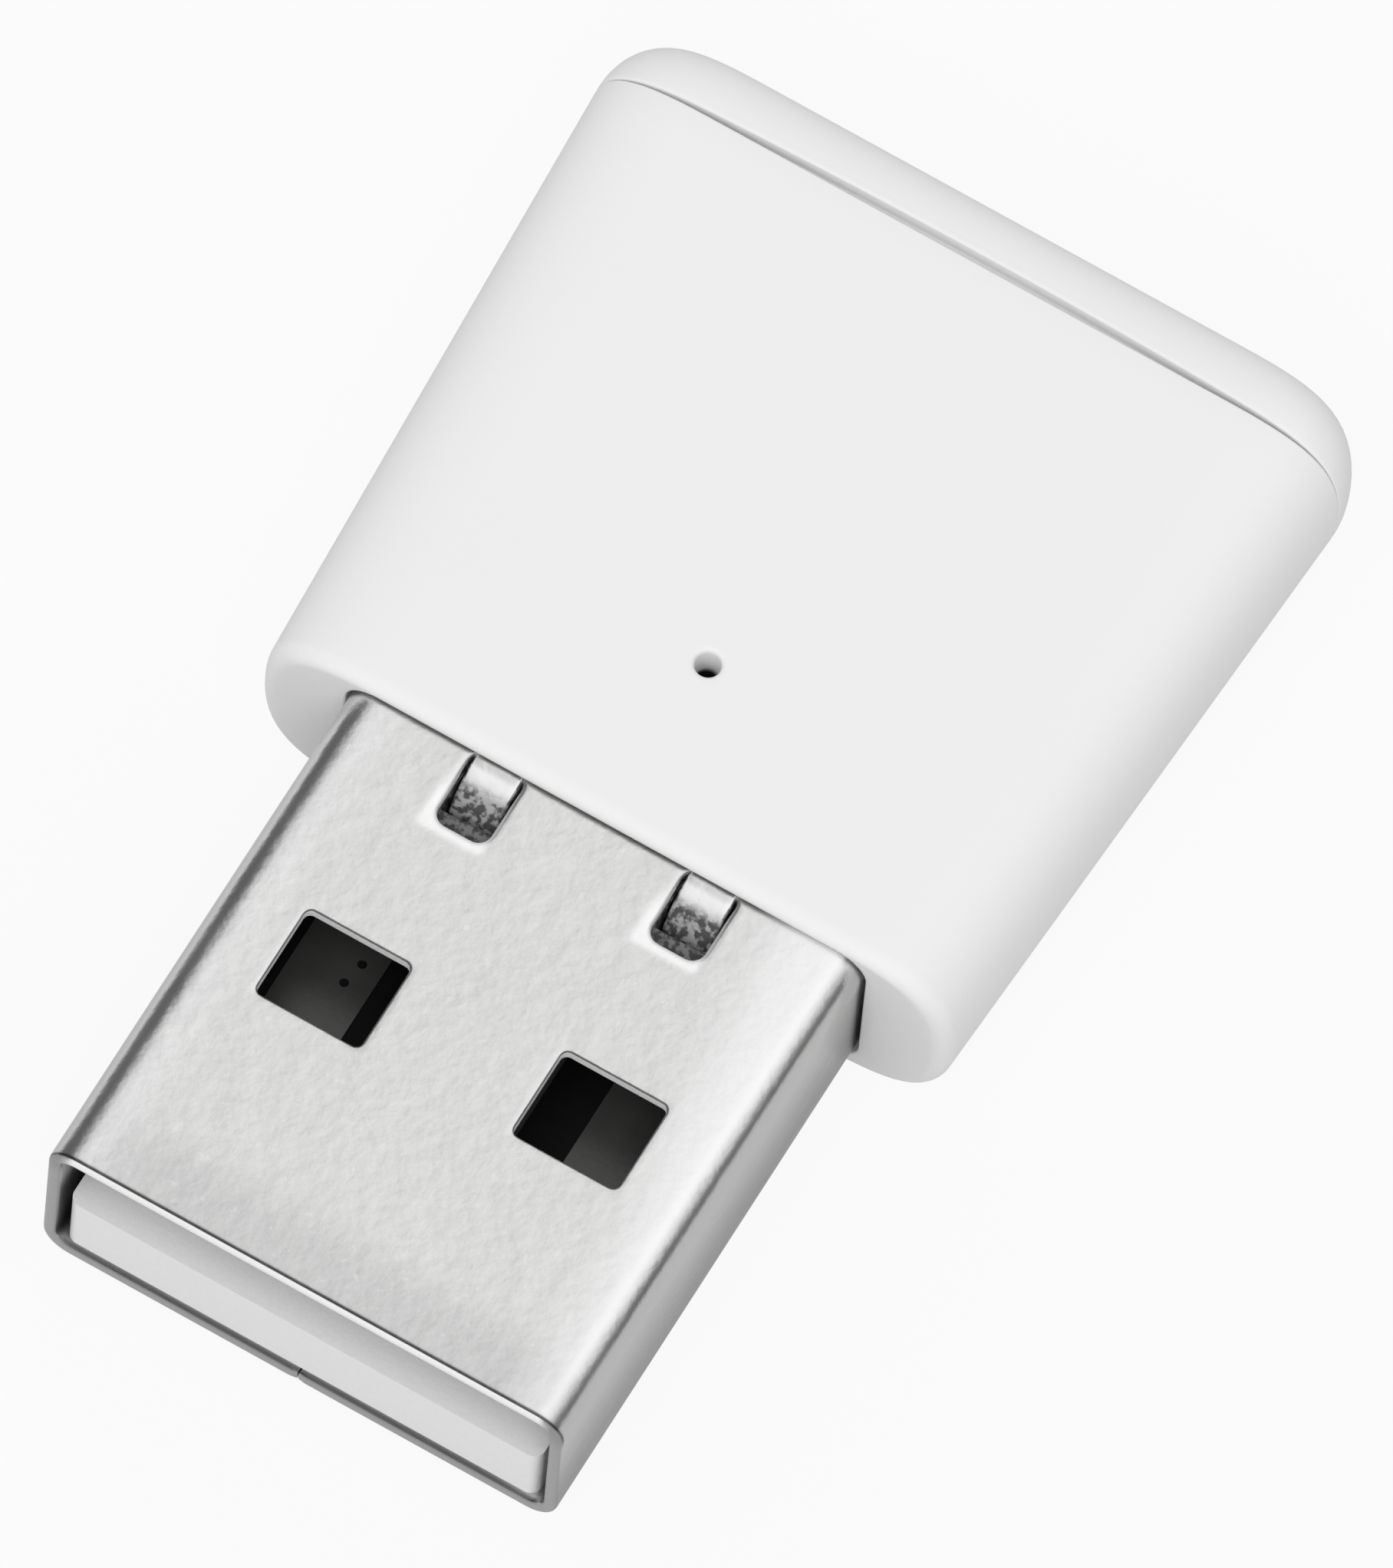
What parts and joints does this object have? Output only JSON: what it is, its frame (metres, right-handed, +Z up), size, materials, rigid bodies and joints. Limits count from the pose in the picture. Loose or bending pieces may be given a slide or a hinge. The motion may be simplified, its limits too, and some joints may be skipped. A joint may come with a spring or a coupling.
{
  "type": "signal repeater",
  "caption": "Small plug-in radio signal repeater: a soft rectangular housing with an indicator hole and a rounded end cap, on a folded metal type A plug.",
  "frame": {"origin": "middle of the underside: centre of the bounding box in plan, on the plane the housing's flat underside lies in", "axes": "+X across the plug, +Y from the plug's mouth to the rounded end cap, +Z up, out of the side with the indicator hole"},
  "size_m": [0.0176, 0.028, 0.0052],
  "materials": {
    "sleeve_plastic": "fine satin moulding",
    "cap_plastic": "fine satin moulding",
    "plated_shell": "nickel plated, lightly handled",
    "carrier_plastic": "plain moulding",
    "board_laminate": "satin solder mask",
    "finger_plating": "thin plating",
    "can_tin": "tinned sheet",
    "chip_moulding": "matt moulding",
    "crystal_lid": "plated lid on ceramic",
    "regulator_moulding": "matt moulding",
    "indicator_lens": "clear over white",
    "antenna_plating": "thin gold plating",
    "solder": "bright solder",
    "capacitor_ceramic": "fired ceramic",
    "resistor_ceramic": "coated ceramic",
    "inductor_ceramic": "fired ceramic",
    "bulk_ceramic": "fired ceramic",
    "bead_ferrite": "fired ferrite"
  },
  "bodies": {
    "root": {"housing_sleeve": "sleeve_plastic", "end_cap": "cap_plastic", "plug_shell": "plated_shell", "board_carrier": "carrier_plastic", "main_board": "board_laminate", "contact_power": "finger_plating", "contact_data_minus": "finger_plating", "contact_data_plus": "finger_plating", "contact_ground": "finger_plating", "shield_can": "can_tin", "radio_chip": "chip_moulding", "crystal": "crystal_lid", "voltage_regulator": "regulator_moulding", "indicator_led": "indicator_lens", "meander_antenna": "antenna_plating", "shell_solder": "solder", "chip_capacitors": "capacitor_ceramic", "chip_resistors": "resistor_ceramic", "matching_inductors": "inductor_ceramic", "bulk_capacitor": "bulk_ceramic", "ferrite_bead": "bead_ferrite"}
  },
  "joints": []
}
